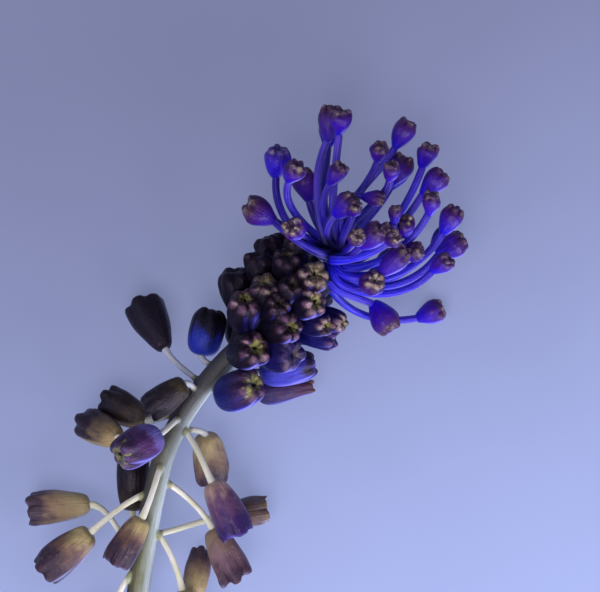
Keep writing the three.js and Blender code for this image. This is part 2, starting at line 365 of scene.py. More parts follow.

# Petal colours: the body runs from its foot to its mouth, which it reaches at the three turns, and the
# lobes and their rim, which is partly painted highlight, have their own, as have the painted light on the
# side towards the lower right and the thin painted highlight at its edge. A shut floret or bud has a star
# where its lobes meet, round the heart.
looks = {
    "ochre": {"foot": "AC9C6A", "middle": "6A5040", "mouth": "34242E", "turns": (0.0, 0.36, 0.62),
              "lobes": "462C34", "rim": "7076A4", "paintedLitSide": "7E84B4", "paintedLitShare": 0.45, "paintedEdgeHighlight": "A4AAD0"},
    "tan": {"foot": "AA976E", "middle": "7E6856", "mouth": "44343E", "turns": (0.1, 0.46, 0.8),
            "lobes": "4C3640", "rim": "6A6486", "paintedLitSide": "7C6078", "paintedLitShare": 0.5, "paintedEdgeHighlight": "9C98BC"},
    "dusky": {"foot": "9E8E68", "middle": "987E60", "mouth": "46363F", "turns": (0.2, 0.5, 0.82),
              "lobes": "46363F", "rim": "6A6486", "paintedLitSide": "7C8094", "paintedLitShare": 0.45, "paintedEdgeHighlight": "A4A8C8"},
    "brown": {"foot": "7A6440", "middle": "5E4840", "mouth": "665450", "turns": (0.1, 0.5, 0.9),
              "lobes": "6A5A3A", "rim": "B4A864", "paintedLitSide": "8480A0", "paintedLitShare": 0.3, "paintedEdgeHighlight": "A4A8CC"},
    "russet": {"foot": "86725A", "middle": "765A62", "mouth": "3C2A38", "turns": (0.2, 0.46, 0.84),
               "lobes": "4A3440", "rim": "786A88", "paintedLitSide": "5C5494", "paintedLitShare": 0.45, "paintedEdgeHighlight": "8C88B8"},
    "mauve": {"foot": "AE9280", "middle": "664660", "mouth": "301A50", "turns": (0.0, 0.34, 0.76),
              "lobes": "32205E", "rim": "5A50B8", "paintedLitSide": "4640A0", "paintedLitShare": 0.55, "paintedEdgeHighlight": "8C8CCC"},
    "umber": {"foot": "3C3420", "middle": "241A18", "mouth": "150E13", "turns": (-0.1, 0.3, 0.7),
              "lobes": "1A1117", "rim": "2C2632", "paintedLitSide": "4A4438", "paintedLitShare": 0.4,
              "paintedEdgeHighlight": "5C5A6C", "paintedEdgeHighlightShare": 0.4},
    "amber": {"foot": "84714F", "middle": "5A4A3A", "mouth": "20161E", "turns": (0.08, 0.36, 0.56),
              "lobes": "1E141A", "rim": "5C6290", "paintedLitSide": "8E7A4C", "paintedLitShare": 1.0, "from": 0.02,
              "paintedEdgeHighlight": "8088B8", "paintedEdgeHighlightShare": 0.6},
    "tawny": {"foot": "54483C", "middle": "2A1F19", "mouth": "181014", "turns": (0.0, 0.4, 0.8),
              "lobes": "20161C", "rim": "2C2836", "paintedLitSide": "7A683E", "paintedLitShare": 0.9, "from": 0.15,
              "paintedEdgeHighlight": "5C5A6C", "paintedEdgeHighlightShare": 0.3},
    "night": {"foot": "1E1620", "middle": "160F19", "mouth": "130D15", "turns": (0.1, 0.4, 0.8),
              "lobes": "1C1218", "rim": "2E2230", "paintedLitSide": "24244C", "paintedLitShare": 0.4,
              "paintedEdgeHighlight": "3C3E74", "paintedEdgeHighlightShare": 0.5},
    "plum": {"foot": "6E66AC", "middle": "4A2A58", "mouth": "2C1A34", "turns": (0.12, 0.46, 0.88),
             "lobes": "442A44", "rim": "5A4C84", "paintedLitSide": "3A3088", "paintedLitShare": 0.7,
             "star": 1.1, "heart": 1.56, "starTint": "7C7A54", "starDark": "46423A"},
    "indigo": {"foot": "10165E", "middle": "141450", "mouth": "30193A", "turns": (0.14, 0.5, 0.86),
               "lobes": "50324A", "rim": "5E4052", "paintedLitSide": "26289C", "paintedLitShare": 0.85,
               "star": 1.08, "heart": 1.56},
    "blueFooted": {"foot": "1A2A94", "middle": "16122C", "mouth": "0A080E", "turns": (0.28, 0.54, 0.74),
                   "lobes": "120D15", "rim": "1A1628", "paintedLitSide": "404CBC", "paintedLitShare": 0.5, "paintedEdgeHighlight": "7480D8"},
    "violet": {"foot": "30329C", "middle": "3836AA", "mouth": "1B1224", "turns": (0.2, 0.6, 0.88),
               "lobes": "2A1A2C", "rim": "3C3272", "paintedLitSide": "5A58D0", "paintedLitShare": 0.85},
    "rose": {"foot": "302A56", "middle": "30244E", "mouth": "4C3044", "turns": (0.0, 0.3, 0.9),
             "lobes": "543844", "rim": "60443E", "paintedLitSide": "5450B4", "paintedLitShare": 0.7},
    "bud": {"foot": "0B0A12", "middle": "0C0A14", "mouth": "140C15", "turns": (0.2, 0.6, 0.9),
            "lobes": "54384E", "rim": "947480", "paintedLitSide": "2E2C94", "paintedLitShare": 0.8,
            "star": 1.28, "heart": 1.74, "specular": 0.14, "coat": 0.02},
    "sterile": {"foot": "0E06D0", "middle": "3006A8", "mouth": "3C105A", "turns": (-0.05, 0.34, 0.84),
                "lobes": "4E3C3A", "rim": "B0A084", "lobesFrom": 0.7, "paintedLitSide": "3A22E8", "paintedLitShare": 0.45,
                "star": 1.3, "heart": 1.74, "specular": 0.26, "coat": 0.12, "starTint": "3E2838",
                "starDark": "241420", "shownInPaintedShade": 0.7},
}

# What all petals share: colours, scales of their patterns, and how their folds stand out.
petal = {
    "sheen": "A8A4FF",
    "shine": "D8D4FF",
    "redder": "3A122C",
    "bluer": "1814C8",
    "litEdge": "8E8CE6",
    "star": "86824A",
    "starDark": "4E4A22",
    "cream": "B0A48C",
    "creamDark": "866A5C",
    # painted shade in the creases between lobes
    "paintedCreaseShade": "09060C",
    # painted shade in the slit at a star's heart
    "paintedSlitShade": "040306",
    "slitSize": (0.22, 0.1),
    "broad": 330,
    "patches": 620,
    "spots": 1700,
    "cells": 5200,
    "streaks": (3.2, 3.2, 1.7),
    "folds": (8, 8, 1.4),
    "relief": (0.65, 0.00009),
}


# Share of a slit of painted shade, longer one way than the other, in the middle of a star.
def paintedSlitShade(along, middle):
    long, narrow = petal["slitSize"]
    skin = addNode("Attribute", attribute_name="skin").outputs["Vector"]
    around = addNode("SeparateXYZ", {0: skin})
    out = sums("SUBTRACT", middle, along)
    first = product(sums("DIVIDE", out, long), around.outputs["X"])
    second = product(sums("DIVIDE", out, narrow), around.outputs["Y"])
    squares = sums("ADD", sums("POWER", first, 2), sums("POWER", second, 2))
    return between(squares, 1.3, 0.7)


def makePetalMaterial(name):
    look = looks[name]
    material, shader = startMaterial(
        name + "Petal", Roughness=0.42, Specular_IOR_Level=look.get("specular", 0.22), Sheen_Weight=0.04,
        Sheen_Roughness=0.35, Coat_Weight=look.get("coat", 0.05), Coat_Roughness=0.15,
        Subsurface_Weight=0.04, Subsurface_Scale=0.0005,
    )
    shader.inputs["Sheen Tint"].default_value = colour(petal["sheen"])
    shader.inputs["Specular Tint"].default_value = colour(petal["shine"])
    streakPlace, along = skinPlace(petal["streaks"])
    streaks = noise(1, 4, 0.55, streakPlace)
    broad = noise(petal["broad"], 1)
    patches = noise(petal["patches"], 3)
    spots = noise(petal["spots"])
    ridge, lower = attribute("ridge"), attribute("lower")
    paintedLitShare, tone = attribute("paintedLitShare"), attribute("tone")
    hasStar = "star" in look
    starShown = product(attribute("shown"), between(broad, 0.36, 0.56, 0.4, 1))
    shown = starShown
    # On looks with a star, painted shade hides the colours of the lobes and star on their upper side.
    if hasStar:
        shownInShade = look.get("shownInPaintedShade", 0.12)
        shown = product(shown, between(lower, 0.15, 0.75, shownInShade, 1))
    shift = sums("MULTIPLY_ADD", streaks, 0.5, -0.5)
    shift = sums("MULTIPLY_ADD", patches, 0.5, shift)
    place = sums("ADD", along, shift)
    low, half, high = (max(turn, 0) for turn in look["turns"])
    body = ramp(place, [(low, look["foot"]), (half, look["middle"]), (high, look["mouth"])])
    body = mix(between(patches, 0.5, 0.75, 0, 0.35), body, look["mouth"])
    body = mix(between(spots, 0.6, 0.75, 0, 0.2), body, look["foot"])
    body = mix(between(tone, 0, 1, 0, 0.55), body, petal["redder"])
    body = mix(between(tone, 0, -1, 0, 0.6), body, petal["bluer"])
    # lobes, their rims, partly painted highlight, and painted shade in the creases between them
    inPaintedCreaseShade = product(between(ridge, -0.3, -0.98, 0, 0.6), between(along, 0.6, 0.95))
    body = mix(inPaintedCreaseShade, body, petal["paintedCreaseShade"])
    begin = look.get("lobesFrom", 0.82)
    onLobes = product(
        between(along, begin, begin + 0.16), between(ridge, -0.8, 0.0), between(spots, 0.25, 0.5), shown
    )
    body = mix(onLobes, body, look["lobes"])
    flecks = (spots, 0.5, 0.62, 0, 0.8) if "lobesFrom" in look else (patches, 0.45, 0.62, 0, 0.7)
    # the rims' colour is partly flecks of their own and partly painted highlight on the lit pads
    atRim = product(between(along, begin + 0.1, 1.0), between(along, 1.12, 1.0), between(*flecks), shown)
    body = mix(atRim, body, look["rim"])
    # painted light on the side that faces the lower right, with a thin painted highlight at its edge
    lit = look.get("from", 0.42)
    outside = product(between(along, 1.0, 1.14, 1, 0), between(ridge, -1, -0.6, 0.3, 1))
    uneven = unevenBy(paintedLitShare, patches, 0.4)
    side = product(between(uneven, lit, lit + 0.53, 0, look["paintedLitShare"]), outside)
    body = mix(side, body, look["paintedLitSide"])
    # a thin painted highlight where the surface faces the light's way most
    thin = unevenBy(paintedLitShare, streaks, 0.3)
    paintedEdgeHighlight = product(between(thin, 0.64, 0.9, 0, look.get("paintedEdgeHighlightShare", 0.75)), outside)
    body = mix(paintedEdgeHighlight, body, look.get("paintedEdgeHighlight", petal["litEdge"]))
    if hasStar:
        body = addStar(look, body, along, ridge, lower, starShown, patches, spots)
    tree.links.new(body, shader.inputs["Base Color"])
    tree.links.new(between(streaks, 0.3, 0.7, 0.26, 0.46), shader.inputs["Roughness"])
    folds = noise(1, 3, 0.6, skinPlace(petal["folds"])[0])
    height = sums("MULTIPLY_ADD", folds, 2.4, noise(petal["cells"]))
    height = sums("MULTIPLY_ADD", spots, 1.4, height)
    bump(shader, height, *petal["relief"])
    return material


# The star where the lobes meet, with arms along its creases, creamy tips and the slit of painted shade in its
# heart. Painted shade dims the star and the tips on the upper side.
def addStar(look, body, along, ridge, lower, starShown, patches, spots):
    begins = look["star"]
    ragged = unevenBy(along, patches, 0.8)
    arms = product(between(ragged, begins - 0.3, begins - 0.1), between(ridge, -0.3, -0.9), 0.45)
    inStar = sums("MAXIMUM", arms, between(ragged, begins - 0.1, begins + 0.06))
    # painted shade dims the star on the upper side
    inStar = product(inStar, starShown, between(lower, -0.1, 0.6, 0.35, 1), 0.85)
    bright, dark = look.get("starTint", petal["star"]), look.get("starDark", petal["starDark"])
    star = mix(between(spots, 0.35, 0.65), bright, dark)
    body = mix(inStar, body, star)
    cream = product(
        between(along, 0.86, 1.0), between(ridge, -1.0, -0.1, 0.25, 1), attribute("creamy"),
        between(lower, 0.1, 0.65, 0.3, 1), between(patches, 0.38, 0.56),
    )
    tint = mix(between(spots, 0.4, 0.6), petal["cream"], petal["creamDark"])
    body = mix(cream, body, tint)
    # the slit at the heart is painted shade
    inSlitShade = product(paintedSlitShade(along, look["heart"]), between(along, 1.1, 1.2))
    return mix(inSlitShade, body, petal["paintedSlitShade"])


# The stem's colours run from its shaded side to its lit one, partly its own olive and grey and partly
# painted shade and painted light. Blotches lie on the shaded side, and painted shade darkens it near the
# head.
# The stalks are pale, and bluer near the head.
stemLook = {
    "sheen": "D8DEFF",
    # from painted shade on the olive side to painted light on the pale side
    "side": [
        (0.0, "3C3A26"), (0.3, "5C5C3E"), (0.5, "797D69"), (0.74, "858E82"), (0.9, "9FAAA6"), (1.0, "B6C3CA"),
    ],
    "blotches": "5E5A2C",
    "paintedShadeNearHead": "2A2838",
    "stalk": "E8E4D8",
    "stalkPatches": "CECCAC",
    "stalkStreaks": "CCCDC4",
    "stalkNearHead": "8A94B0",
    "joint": "8A8A48",
    "patches": 260,
    "cells": 4200,
    "streaks": (5, 5, 2.2),
    "ribs": (9, 9, 1.2),
    "relief": (0.5, 0.00008),
}


def makeStemMaterial():
    look = stemLook
    material, shader = startMaterial(
        "stemSkin", Roughness=0.45, Specular_IOR_Level=0.35, Sheen_Weight=0.05,
        Subsurface_Weight=0.1, Subsurface_Scale=0.001,
    )
    shader.inputs["Sheen Tint"].default_value = colour(look["sheen"])
    streakPlace, along = skinPlace(look["streaks"])
    onStalk, facingPaintedLight = attribute("onStalk"), attribute("facingPaintedLight")
    patches = noise(look["patches"], 3)
    streaks = noise(1, 4, 0.6, streakPlace)
    # the side's colour follows how far a point faces the painted light
    side = sums("ADD", facingPaintedLight, sums("MULTIPLY_ADD", streaks, 0.9, -0.45))
    skin = ramp(between(side, -1, 1), look["side"])
    blotches = product(between(patches, 0.46, 0.7, 0, 0.65), between(side, 0.7, 0.1))
    skin = mix(blotches, skin, look["blotches"])
    # painted shade near the head, on the shaded side
    paintedShadeNearHead = product(between(along, -3.3, -1.5, 0, 0.85), between(side, 1.2, 0.3))
    skin = mix(paintedShadeNearHead, skin, look["paintedShadeNearHead"])
    pale = mix(between(patches, 0.3, 0.7), look["stalk"], look["stalkPatches"])
    pale = mix(between(streaks, 0.4, 0.7, 0, 0.5), pale, look["stalkStreaks"])
    pale = mix(between(along, -2.4, -1.5, 0, 0.7), pale, look["stalkNearHead"])
    skin = mix(onStalk, skin, pale)
    joint = product(between(onStalk, 0.0, 0.3), between(onStalk, 0.95, 0.5), 0.6)
    skin = mix(joint, skin, look["joint"])
    tree.links.new(skin, shader.inputs["Base Color"])
    tree.links.new(between(streaks, 0.3, 0.7, 0.38, 0.58), shader.inputs["Roughness"])
    ribs = noise(1, 3, 0.5, skinPlace(look["ribs"])[0])
    height = sums("MULTIPLY_ADD", ribs, 2.5, noise(look["cells"]))
    bump(shader, height, *look["relief"])
    return material


# The tassel's stalks run from deep blue to violet, and differ in tone, partly by painted light and shade.
# Painted shade darkens the hollow between them.
blueStalkLook = {
    "sheen": "A8A4FF",
    "along": [(0.0, "0502D4"), (0.3, "0803DC"), (0.65, "240CCC"), (1.0, "340EB4")],
    "darkerAndPaintedShade": "2A1872",
    "palerAndPaintedLight": "5C48C0",
    "paleStreaksAndPaintedHighlights": "6658E4",
    "darkStreaks": "08033A",
    "paintedHollowShade": "060420",
    "paintedHollowShadeReach": (0.0009, 0.0028),
    "patches": 300,
    "cells": 4200,
    "streaks": (3.4, 3.4, 1.6),
    "ribs": (6, 6, 1.2),
    "relief": (0.7, 0.00008),
}


def makeBlueStalkMaterial():
    look = blueStalkLook
    material, shader = startMaterial(
        "blueStalkSkin", Roughness=0.34, Specular_IOR_Level=0.3, Sheen_Weight=0.02, Coat_Weight=0.12,
        Coat_Roughness=0.16, Subsurface_Weight=0.05, Subsurface_Scale=0.0005,
    )
    shader.inputs["Sheen Tint"].default_value = colour(look["sheen"])
    streakPlace, along = skinPlace(look["streaks"])
    patches = noise(look["patches"], 3)
    streaks = noise(1, 4, 0.6, streakPlace)
    shift = sums("MULTIPLY_ADD", patches, 0.5, -0.25)
    skin = ramp(sums("ADD", along, shift), look["along"])
    tone = attribute("tone")
    # darker tones partly painted shade, paler ones partly painted light
    skin = mix(between(tone, 0, 1), skin, look["darkerAndPaintedShade"])
    skin = mix(between(tone, 0, -1), skin, look["palerAndPaintedLight"])
    # pale streaks that are partly painted highlights
    skin = mix(between(streaks, 0.53, 0.66, 0, 0.6), skin, look["paleStreaksAndPaintedHighlights"])
    skin = mix(between(streaks, 0.49, 0.36, 0, 0.85), skin, look["darkStreaks"])
    # a painted highlight along the side that faces the light's way
    rim = between(attribute("paintedLitShare"), 0.5, 0.92, 0, 0.55)
    skin = mix(rim, skin, petal["litEdge"])
    # painted shade in the hollow between the stalks
    spot = addNode("TexCoord").outputs["Object"]
    away = addNode("VectorMath", {0: spot, 1: tassel["heart"]}, operation="DISTANCE")
    inPaintedHollowShade = between(away.outputs["Value"], *look["paintedHollowShadeReach"], 0.85, 0)
    skin = mix(inPaintedHollowShade, skin, look["paintedHollowShade"])
    tree.links.new(skin, shader.inputs["Base Color"])
    tree.links.new(between(streaks, 0.3, 0.7, 0.28, 0.48), shader.inputs["Roughness"])
    ribs = noise(1, 3, 0.5, skinPlace(look["ribs"])[0])
    height = sums("MULTIPLY_ADD", ribs, 3.0, noise(look["cells"]))
    bump(shader, height, *look["relief"])
    return material


antherLook = {"dark": "241A3A", "light": "4A3A5A", "grains": 6000, "relief": (0.6, 0.00005)}


def makeAntherMaterial():
    look = antherLook
    material, shader = startMaterial("anther", Roughness=0.7)
    grains = noise(look["grains"])
    tint = ramp(grains, [(0.3, look["dark"]), (0.7, look["light"])])
    tree.links.new(tint, shader.inputs["Base Color"])
    bump(shader, grains, *look["relief"])
    return material


petals = {name: makePetalMaterial(name) for name in looks}
stemSkin = makeStemMaterial()
antherSkin = makeAntherMaterial()
print("materials made:", len(bpy.data.materials))

# Florets of several kinds, each drawn up ring by ring from its foot. A ring has its share of the radius
# and of the length, how deep its creases are, and how far they sink below its six lobes.
lobes = 6
pointsPerLobe = 4
sides = lobes * pointsPerLobe
floretKinds = {
    "open": {
        "length": 7.6,
        "radius": 2.3,
        "lobeRings": (9, 15),
        "rings": [
            (0.14, 0, 0, 0), (0.42, 0.006, 0, 0), (0.62, 0.035, 0, 0), (0.75, 0.1, 0.01, 0),
            (0.85, 0.22, 0.02, 0), (0.93, 0.38, 0.02, 0), (0.99, 0.54, 0.02, 0), (1.0, 0.68, 0.03, 0),
            (0.97, 0.8, 0.05, 0), (0.92, 0.89, 0.08, 0.005), (0.87, 0.955, 0.1, 0.015),
            (0.81, 1.0, 0.11, 0.03), (0.73, 0.985, 0.11, 0.03), (0.67, 0.91, 0.09, 0.02),
            (0.64, 0.8, 0.06, 0), (0.56, 0.64, 0.02, 0), (0.4, 0.5, 0, 0), (0.16, 0.46, 0, 0),
        ],
    },
    "shut": {
        "length": 6.4,
        "radius": 2.3,
        "lobeRings": (6, 12),
        "rings": [
            (0.16, 0, 0, 0), (0.44, 0.01, 0, 0), (0.7, 0.06, 0, 0), (0.88, 0.17, 0, 0),
            (0.98, 0.33, 0.01, 0), (1.0, 0.5, 0.03, 0), (0.97, 0.66, 0.07, 0), (0.9, 0.79, 0.12, 0.01),
            (0.79, 0.9, 0.16, 0.03), (0.64, 0.97, 0.18, 0.04), (0.48, 1.0, 0.15, 0.04),
            (0.34, 0.985, 0.1, 0.03), (0.21, 0.95, 0.06, 0.02), (0.1, 0.91, 0, 0), (0.04, 0.87, 0, 0),
        ],
    },
    "drawn": {
        "length": 6.4,
        "radius": 2.3,
        "lobeRings": (8, 12),
        "rings": [
            (0.3, 0, 0, 0), (0.62, 0.02, 0, 0), (0.86, 0.09, 0, 0), (1.0, 0.22, 0, 0), (0.98, 0.36, 0.01, 0),
            (0.87, 0.5, 0.02, 0), (0.74, 0.63, 0.03, 0), (0.64, 0.75, 0.04, 0), (0.56, 0.86, 0.06, 0),
            (0.5, 0.94, 0.08, 0.01), (0.42, 0.99, 0.1, 0.02), (0.3, 1.0, 0.08, 0.02), (0.16, 0.97, 0, 0),
            (0.06, 0.93, 0, 0),
        ],
    },
    "bud": {
        "length": 5.8,
        "radius": 2.0,
        "lobeRings": (7, 12),
        "rings": [
            (0.2, -0.32, 0, 0), (0.3, -0.16, 0, 0), (0.52, 0, 0, 0), (0.76, 0.14, 0, 0),
            (0.94, 0.34, 0.01, 0), (1.02, 0.54, 0.02, 0), (1.0, 0.7, 0.05, 0), (0.96, 0.82, 0.09, 0.005),
            (0.89, 0.91, 0.14, 0.015), (0.77, 0.97, 0.18, 0.03), (0.6, 1.0, 0.17, 0.035),
            (0.43, 0.998, 0.13, 0.03), (0.26, 0.97, 0.08, 0.02), (0.11, 0.93, 0, 0), (0.04, 0.89, 0, 0),
        ],
    },
    "sterile": {
        "length": 3.8,
        "radius": 1.5,
        "lobeRings": (7, 13),
        "rings": [
            (0.3, -0.01, 0, 0), (0.4, 0.06, 0, 0), (0.56, 0.16, 0.01, 0), (0.76, 0.31, 0.02, 0),
            (0.93, 0.47, 0.03, 0), (1.0, 0.61, 0.04, 0), (0.98, 0.73, 0.07, 0), (0.88, 0.82, 0.11, 0.01),
            (0.79, 0.875, 0.14, 0.015), (0.75, 0.93, 0.17, 0.03), (0.66, 0.98, 0.21, 0.035),
            (0.51, 1.0, 0.23, 0.04), (0.36, 0.985, 0.2, 0.05), (0.22, 0.94, 0.12, 0.03), (0.08, 0.89, 0, 0),
        ],
    },
}


# Some florets have gaping mouths, with deeper notches between their lobes.
notches = {"deeper": 1.8, "longer": 2.2}
openKind = floretKinds["open"]
floretKinds["notched"] = dict(openKind, rings=[
    (wide, high, depth * notches["deeper"], sink * notches["longer"])
    for wide, high, depth, sink in openKind["rings"]
])


# How far along its colours each ring is: 1 at the rim, more past it.
def alongRings(rings, radius, length):
    rim = max(range(len(rings)), key=lambda ring: rings[ring][1])
    values = [max(height, 0) for _, height, _, _ in rings[:rim + 1]]
    for before, after in zip(rings[rim:], rings[rim + 1:]):
        step = sqrt(((after[0] - before[0]) * radius) ** 2 + ((after[1] - before[1]) * length) ** 2)
        values.append(values[-1] + step / radius)
    return values


# Notes on each point of a piece made of rings: its place round and along, and ridge or crease.
def noteSkin(piece, ringSides, along):
    points = len(piece.data.vertices)
    angles = np.arange(points) % ringSides * 2 * pi / ringSides
    rings = np.arange(points) // ringSides
    skin = np.stack([np.cos(angles), np.sin(angles), np.array(along)[rings]], 1)
    notePlaces(piece, "skin", skin)
    noteValues(piece, "ridge", -np.cos(lobes * angles))


# How far the middle of a lobe and the points beside it stand out, as shares of its creases' depth.
ridges = {"middle": 0.45, "beside": 0.3}


def scaleAcross(factor):
    bpy.ops.transform.resize(value=(factor, factor, 1), center_override=(0, 0, 0))


def makeFloretTemplate(name):
    kind = floretKinds[name]
    radius, length, rings = kind["radius"], kind["length"], kind["rings"]
    deselectAll()
    bpy.ops.mesh.primitive_circle_add(vertices=sides, radius=rings[0][0] * radius, fill_type="NGON")
    template = bpy.context.object
    template.name = name + "Template"
    editMode()
    bpy.ops.mesh.select_all(action="SELECT")
    bpy.ops.transform.translate(value=(0, 0, rings[0][1] * length))
    for before, after in zip(rings, rings[1:]):
        rise = (after[1] - before[1]) * length
        grow = after[0] / before[0]
        bpy.ops.mesh.extrude_region_move(TRANSFORM_OT_translate={"value": (0, 0, rise)})
        bpy.ops.transform.resize(value=(grow, grow, 1), center_override=(0, 0, after[1] * length))
    bpy.ops.mesh.select_all(action="SELECT")
    bpy.ops.mesh.normals_make_consistent(inside=False)
    # each lobe's ridge stands out, and the creases between the lobes sink in
    ridgeAt = pointsPerLobe // 2
    for ring, (_, _, depth, sink) in enumerate(rings):
        if depth == 0:
            continue
        onRing = range(ring * sides, (ring + 1) * sides)
        pickPoints(template, lambda number, place: number in onRing and number % pointsPerLobe == ridgeAt)
        scaleAcross(1 + depth * ridges["middle"])
        pickPoints(template, lambda number, place: number in onRing and number % 2 == 1)
        scaleAcross(1 + depth * ridges["beside"])
        pickPoints(template, lambda number, place: number in onRing and number % pointsPerLobe == 0)
        scaleAcross(1 - depth)
        bpy.ops.transform.translate(value=(0, 0, -sink * length))
    objectMode()
    noteSkin(template, sides, alongRings(rings, radius, length))
    return template


templates = {name: makeFloretTemplate(name) for name in floretKinds}

# Uneven growth: slow swellings over a few millimetres, small ones from point to point, crumpled tips,
# and lobes of which every other one is longer. A floret that widens to its mouth gives up some girth.
growth = {
    "swelling": 0.34,
    "swellingSize": 2.2,
    "wobble": 0.035,
    "crumple": 0.1,
    "outerLonger": 0.012,
    "lobeLength": 0.03,
    "outerWider": 0.025,
    "lobeWidth": 0.08,
    "flareTakes": 0.8,
}
swellings = bpy.data.textures.new("swellings", "CLOUDS")
swellings.noise_scale = growth["swellingSize"]
swellings.noise_depth = 1


# Lengthens or shortens each lobe, and opens or shuts it, by its own amount.
def unevenLobes(piece, kind, uneven):
    first, last = (ring * sides for ring in kind["lobeRings"])
    for lobe in range(lobes):
        outer = 1 if lobe % 2 else -1
        longer = outer * growth["outerLonger"] + dice.uniform(-1, 1) * growth["lobeLength"] * uneven
        wider = 1 + outer * growth["outerWider"] + dice.uniform(-1, 1) * growth["lobeWidth"] * uneven
        start = lobe * pointsPerLobe
        end = start + pointsPerLobe
        pickPoints(piece, lambda number, place: first <= number < last and start < number % sides < end)
        bpy.ops.transform.translate(value=(0, 0, longer * kind["length"]))
        scaleAcross(wider)
    pickPoints(piece, lambda number, place: first + sides <= number < last)
    crumple = growth["crumple"] * uneven
    bpy.ops.transform.vertex_random(offset=crumple, uniform=0.8, normal=0.2, seed=dice.randrange(9999))
    objectMode()


def growFloret(kindName, base, forward, length, radius, detail, uneven=1.0, flare=0.0):
    kind = floretKinds[kindName]
    piece = copyOf(templates[kindName])
    editMode()
    unevenLobes(piece, kind, uneven)
    if flare:
        applyModifier(piece, "SIMPLE_DEFORM", deform_method="TAPER", deform_axis="Z", factor=flare)
    spun = Matrix.Rotation(dice.uniform(0, 2 * pi), 4, "Z")
    wide, tall = radius / kind["radius"], length / kind["length"]
    sized = Matrix.Diagonal((wide, wide, tall, 1))
    turned = forward.to_track_quat("Z", "Y").to_matrix().to_4x4()
    piece.matrix_world = Matrix.Translation(base) @ turned @ spun @ sized
    pick(piece)
    bpy.ops.object.transform_apply(location=True, rotation=True, scale=True)
    editMode()
    bpy.ops.mesh.select_all(action="SELECT")
    seed = dice.randrange(9999)
    bpy.ops.transform.vertex_random(offset=growth["wobble"] * uneven, uniform=0.4, normal=0.6, seed=seed)
    objectMode()
    swell = {"texture": swellings, "texture_coords": "GLOBAL", "mid_level": 0.5}
    applyModifier(piece, "DISPLACE", strength=growth["swelling"] * uneven * wide, **swell)
    applyModifier(piece, "SUBSURF", levels=detail, render_levels=detail)
    return piece


# Notes how much of the lobes' and star's colour shows, how creamy the tips are, and the tone.
def noteLook(piece, shown=1.0, creamy=0.0, tone=0.0):
    note(piece, "shown", shown)
    note(piece, "creamy", creamy)
    note(piece, "tone", tone)


# The stem, as in the solid part: it leans a little, and near the head it bows over further.
stem = {
    "length": 92,
    "lean": 0.145,
    "bow": 1.0,
    "bendAt": -18,
    "bendWidth": 4,
    "topEnd": -0.9,
    "cutRadius": 1.6,
    "tipRadius": 1.0,
    "cutHeight": 1.45,
    "footHeight": 8.3,
    "sides": 24,
    "rings": 100,
    "pathPoints": 14,
    "grain": 0.15,  # size of the faces that join the stalks to the stem
    "smoothings": 5,
    "stalkFrom": (1.08, 0.5),  # share of the radius where a stalk's colour begins, and how far it fades in
    "samples": 400,  # places along the stem that its points are measured from
}


def stemPoint(y):
    def turned(at):
        return stem["bendWidth"] * log(1 + exp((at - stem["bendAt"]) / stem["bendWidth"]))

    x = stem["lean"] * y + stem["bow"] * (turned(y) - turned(0))
    share = (y + stem["length"]) / stem["length"]
    return Vector((x, y, stem["cutHeight"] + (stem["footHeight"] - stem["cutHeight"]) * share))


def stemRadius(y):
    share = sqrt(min(max(-y / stem["length"], 0), 1))
    return stem["tipRadius"] + (stem["cutRadius"] - stem["tipRadius"]) * share


# A straight tube along +X, of length 1, to be bent along a path.
def makeTube(name, ringSides, radii):
    deselectAll()
    bpy.ops.mesh.primitive_circle_add(
        vertices=ringSides, radius=radii[0], fill_type="NGON", rotation=(0, radians(90), 0)
    )
    bpy.ops.object.transform_apply(location=False, rotation=True, scale=False)
    tube = bpy.context.object
    tube.name = name
    step = 1 / (len(radii) - 1)
    editMode()
    for before, after in zip(radii, radii[1:]):
        bpy.ops.mesh.extrude_region_move(TRANSFORM_OT_translate={"value": (step, 0, 0)})
        bpy.ops.transform.resize(value=(1, after / before, after / before), center_override=(0, 0, 0))
    bpy.ops.mesh.select_all(action="SELECT")
    bpy.ops.mesh.normals_make_consistent(inside=False)
    objectMode()
    noteSkin(tube, ringSides, [ring * step for ring in range(len(radii))])
    return tube


def drawPath(points, handles=None):
    deselectAll()
    bpy.ops.curve.primitive_bezier_curve_add(location=(0, 0, 0))
    path = bpy.context.object
    if len(points) > 2:
        editMode()
        bpy.ops.curve.select_all(action="SELECT")
        bpy.ops.curve.subdivide(number_cuts=len(points) - 2)
        objectMode()
    knots = path.data.splines[0].bezier_points
    for knot, point in zip(knots, points):
        knot.handle_left_type = knot.handle_right_type = "FREE" if handles else "AUTO"
        knot.co = point
    if handles:
        knots[0].handle_right = handles[0]
        knots[0].handle_left = 2 * points[0] - handles[0]
        knots[1].handle_left = handles[1]
        knots[1].handle_right = 2 * points[1] - handles[1]
    path.data.resolution_u = 24
    path.data.use_stretch = True
    path.data.use_deform_bounds = True
    return path


def bendAlong(tube, path):
    applyModifier(tube, "CURVE", object=path, deform_axis="POS_X")
    pick(path)
    bpy.ops.object.delete()
    return tube


